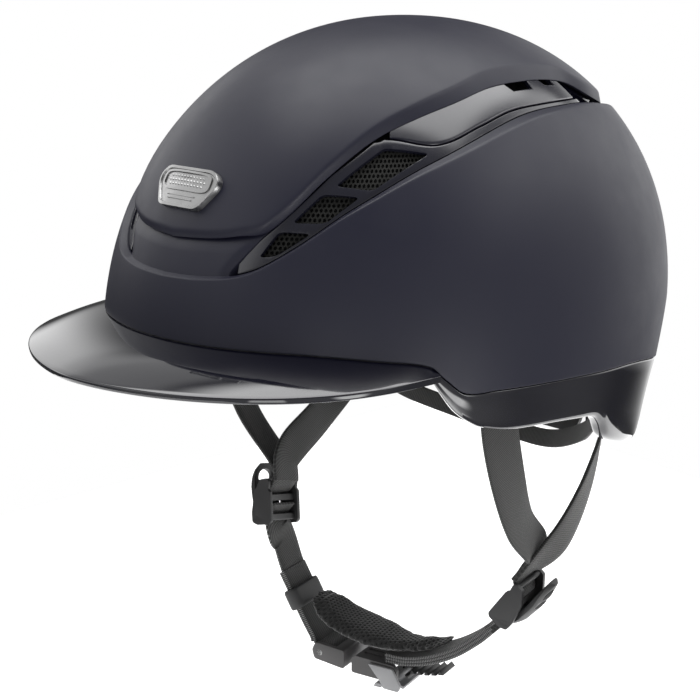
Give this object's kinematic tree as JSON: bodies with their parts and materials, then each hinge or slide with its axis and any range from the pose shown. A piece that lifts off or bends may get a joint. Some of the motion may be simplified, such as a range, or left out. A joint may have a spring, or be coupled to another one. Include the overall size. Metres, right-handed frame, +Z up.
{
  "type": "equestrian riding helmet",
  "caption": "Riding helmet with a two-tone hard shell, side vent channels, curved peak, padded liner, nape dial adjuster and a chin harness with a ratchet buckle.",
  "frame": {"origin": "centre of the head opening at brow level, midway between the sides", "axes": "+Z up to the crown, -Y forward to the peak, +X to the wearer's left"},
  "size_m": [0.2182, 0.3135, 0.3144],
  "materials": {
    "matte_shell": "fine matte coat",
    "gloss_trim": "glossy dark navy",
    "badge_metal": "satin plated",
    "vent_mesh": "open mesh",
    "liner": "expanded foam",
    "comfort": "spacer knit",
    "webbing": "woven ribs",
    "dark_plastic": "moulded, fine grain",
    "lever_grey": "moulded light grey",
    "rubber": "smooth",
    "steel": "plated"
  },
  "bodies": {
    "helmet": {"main_shell": "matte_shell", "crown_shell": "matte_shell", "peak": "gloss_trim", "rim_trim": "gloss_trim", "front_badge": "badge_metal", "vent_frame_left": "matte_shell", "vent_frame_right": "matte_shell", "vent_mesh_left": "vent_mesh", "vent_mesh_right": "vent_mesh", "side_panel_left": "matte_shell", "side_panel_right": "matte_shell", "rear_vent_grille": "gloss_trim", "impact_liner": "liner", "brow_pad": "comfort", "crown_pad": "comfort", "side_pad_left": "comfort", "side_pad_right": "comfort", "nape_cradle": "dark_plastic", "cradle_cover": "dark_plastic", "cradle_hangers": "dark_plastic", "nape_pad": "comfort", "dial_screw": "steel", "strap_anchors": "steel", "strap_front_left": "webbing", "strap_rear_left": "webbing", "strap_front_right": "webbing", "strap_rear_right": "webbing", "nape_strap": "webbing", "divider_left": "dark_plastic", "divider_right": "dark_plastic", "divider_pin_left": "steel", "divider_pin_right": "steel", "chin_strap_left": "webbing", "chin_strap_right": "webbing", "chin_pad": "comfort", "buckle_housing": "dark_plastic", "buckle_pin": "steel", "buckle_spring": "steel"},
    "dial": {"adjuster_dial": "dark_plastic"},
    "left_band": {"band_left": "dark_plastic"},
    "right_band": {"band_right": "dark_plastic"},
    "left_lever": {"divider_lever_left": "dark_plastic"},
    "right_lever": {"divider_lever_right": "dark_plastic"},
    "keeper": {"strap_keeper": "rubber"},
    "release_lever": {"buckle_lever": "lever_grey"},
    "tongue": {"buckle_tongue": "dark_plastic", "tongue_bar": "steel"}
  },
  "joints": [
    {"name": "dial_spin", "type": "hinge", "parent": "helmet", "child": "dial", "pos_m": [0, 0.09, -0.048], "axis": [0, 1, 0], "range_deg": [-60, 60]},
    {"name": "left_band_slide", "type": "slide", "parent": "helmet", "child": "left_band", "axis": [-1, 0, 0], "range_m": [-0.0063, 0.0063]},
    {"name": "right_band_slide", "type": "slide", "parent": "helmet", "child": "right_band", "axis": [1, 0, 0], "range_m": [-0.0063, 0.0063]},
    {"name": "left_divider_lever", "type": "hinge", "parent": "helmet", "child": "left_lever", "pos_m": [0.06824, 0.00865, -0.12886], "axis": [-0.2504, 0.9681, 0], "range_deg": [0, 60]},
    {"name": "right_divider_lever", "type": "hinge", "parent": "helmet", "child": "right_lever", "pos_m": [-0.06062, -0.02714, -0.1075], "axis": [0.1898, -0.95, 0.2479], "range_deg": [0, 60]},
    {"name": "keeper_slide", "type": "slide", "parent": "helmet", "child": "keeper", "axis": [-0.4858, -0.1256, 0.865], "range_m": [0, 0.006]},
    {"name": "buckle_release", "type": "hinge", "parent": "helmet", "child": "release_lever", "pos_m": [0.01007, -0.0064, -0.1755], "axis": [0.2504, -0.9681, 0], "range_deg": [0, 30], "stiffness_Nm_per_rad": 0.02, "springref_deg": -17.19},
    {"name": "tongue_slide", "type": "slide", "parent": "helmet", "child": "tongue", "axis": [0.9681, 0.2504, 0], "range_m": [-0.0024, 0.0024]}
  ],
  "couplings": [
    {"joint": "left_band_slide", "follows": "dial_spin", "m_per_rad": 0.006},
    {"joint": "right_band_slide", "follows": "dial_spin", "m_per_rad": 0.006}
  ]
}
